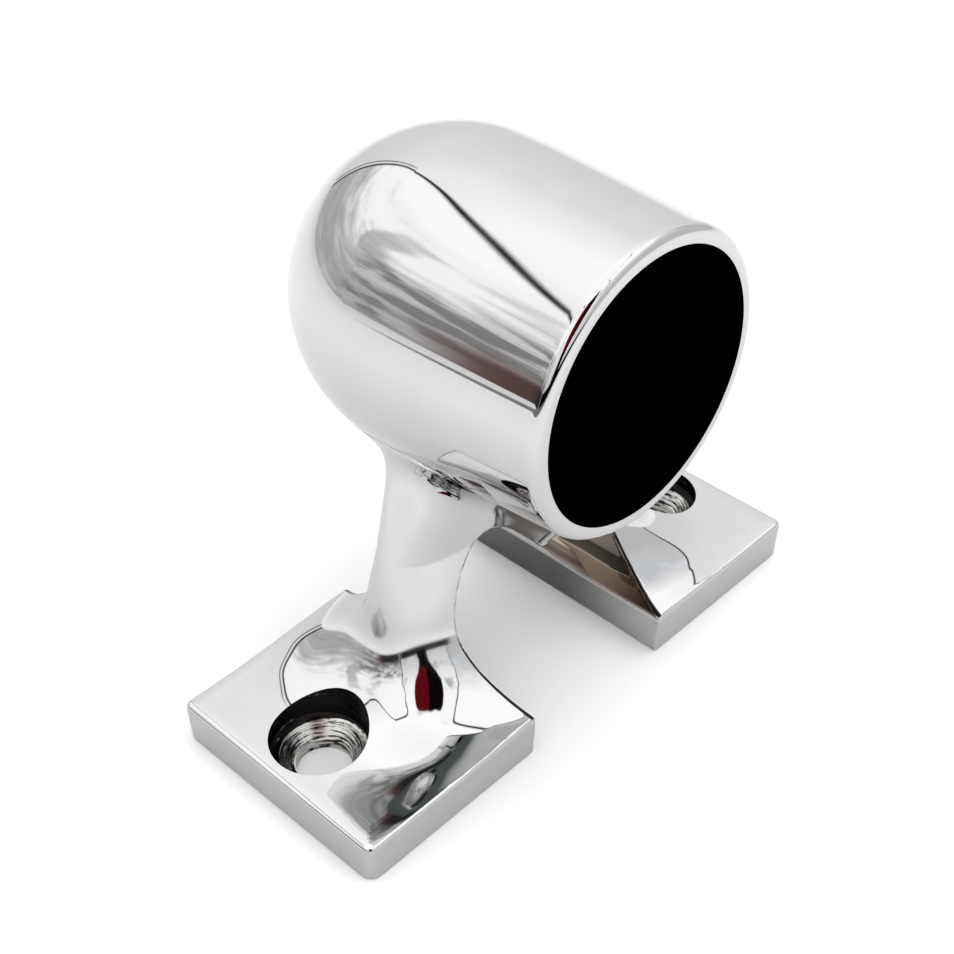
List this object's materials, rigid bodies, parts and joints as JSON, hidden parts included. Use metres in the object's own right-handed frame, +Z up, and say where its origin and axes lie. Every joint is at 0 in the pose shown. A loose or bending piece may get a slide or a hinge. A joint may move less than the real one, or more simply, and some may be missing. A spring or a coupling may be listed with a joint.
{
  "type": "handrail stanchion base",
  "caption": "Polished end bracket for a boat handrail: a round-nosed tube socket on an arch whose waisted legs flare into flat screw-down feet.",
  "frame": {"origin": "on the deck plane, midway between the two screw holes", "axes": "+X along the handrail, out of the socket's mouth; +Y across the two feet; +Z up, away from the deck"},
  "size_m": [0.0385, 0.0628, 0.0559],
  "materials": {
    "polished_steel": "mirror-polished stainless steel, slightly wavy from hand polishing",
    "foot_steel": "mirror-polished stainless steel with satin sides and a turned countersink",
    "screw_steel": "plain machined stainless steel"
  },
  "bodies": {
    "bracket": {"socket_barrel": "polished_steel", "nose_cap": "polished_steel", "saddle_keel": "polished_steel", "left_leg": "polished_steel", "right_leg": "polished_steel", "left_foot": "foot_steel", "right_foot": "foot_steel"},
    "set_screw": {"rail_set_screw": "screw_steel"}
  },
  "joints": [
    {"name": "set_screw_slide", "type": "slide", "parent": "bracket", "child": "set_screw", "axis": [0, 0, 1], "range_m": [0, 0.0015]}
  ]
}
